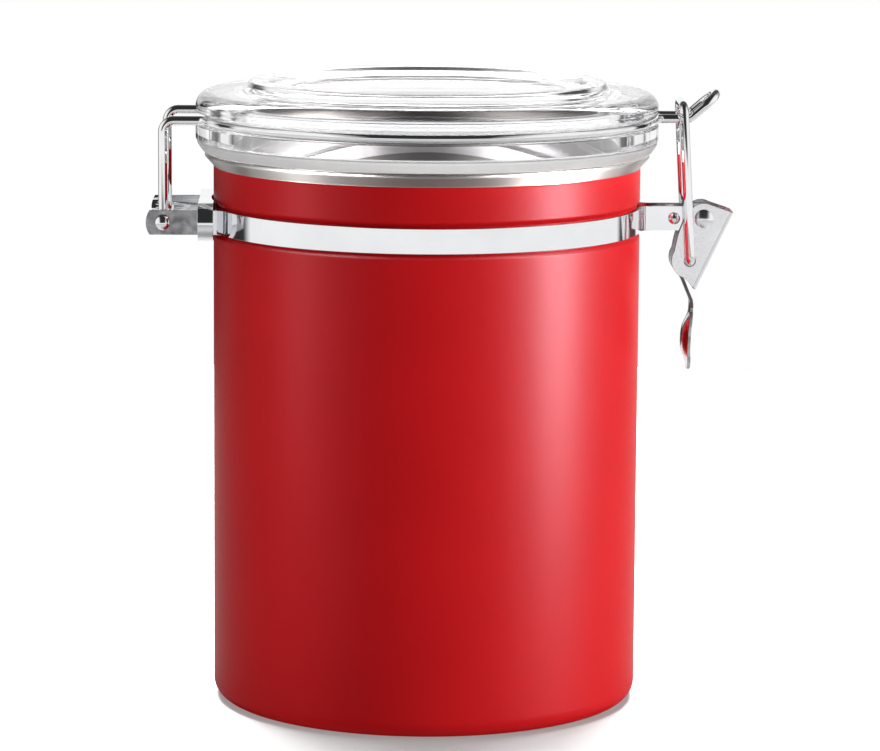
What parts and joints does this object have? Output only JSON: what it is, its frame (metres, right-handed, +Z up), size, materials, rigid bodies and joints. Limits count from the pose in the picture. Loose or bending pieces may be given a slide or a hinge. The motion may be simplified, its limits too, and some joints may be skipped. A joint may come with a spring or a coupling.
{
  "type": "airtight canister",
  "caption": "Painted steel storage canister with a clear hinged lid, a silicone gasket, a strap and an over-centre wire clamp that pulls the lid down.",
  "frame": {"origin": "centre of the flat underside of the can", "axes": "+Z up, +X towards the latch, -X towards the hinge, -Y the side the picture shows"},
  "size_m": [0.1645, 0.1306, 0.1756],
  "materials": {
    "red_paint": "satin powder coat outside, bare steel rim and inside",
    "polished_steel": "polished",
    "chrome_wire": "bright",
    "clear_acrylic": "clear, glossy",
    "silicone": "translucent white, matt"
  },
  "bodies": {
    "can": {"canister_body": "red_paint", "strap_front": "polished_steel", "strap_rear": "polished_steel", "hinge_bridge": "polished_steel", "lever_rivet": "polished_steel", "stop_rivet": "polished_steel", "pivot_spacer": "polished_steel", "stop_spacer": "polished_steel"},
    "lid": {"lid": "clear_acrylic", "lid_gasket": "silicone", "lid_hoop": "chrome_wire"},
    "lever": {"latch_lever": "polished_steel"},
    "bail": {"latch_bail": "chrome_wire"}
  },
  "joints": [
    {"name": "lid_hinge", "type": "hinge", "parent": "can", "child": "lid", "pos_m": [-0.0736, 0, 0.1372], "axis": [0, -1, 0], "range_deg": [0, 195]},
    {"name": "lever_pivot", "type": "hinge", "parent": "can", "child": "lever", "pos_m": [0.0778, 0, 0.1372], "axis": [0, -1, 0], "range_deg": [0, 125]},
    {"name": "bail_swing", "type": "hinge", "parent": "lever", "child": "bail", "pos_m": [0.074, 0, 0.1253], "axis": [0, -1, 0], "range_deg": [-95, 0]}
  ],
  "couplings": [
    {"joint": "bail_swing", "follows": "lever_pivot", "ratio": -0.76}
  ]
}
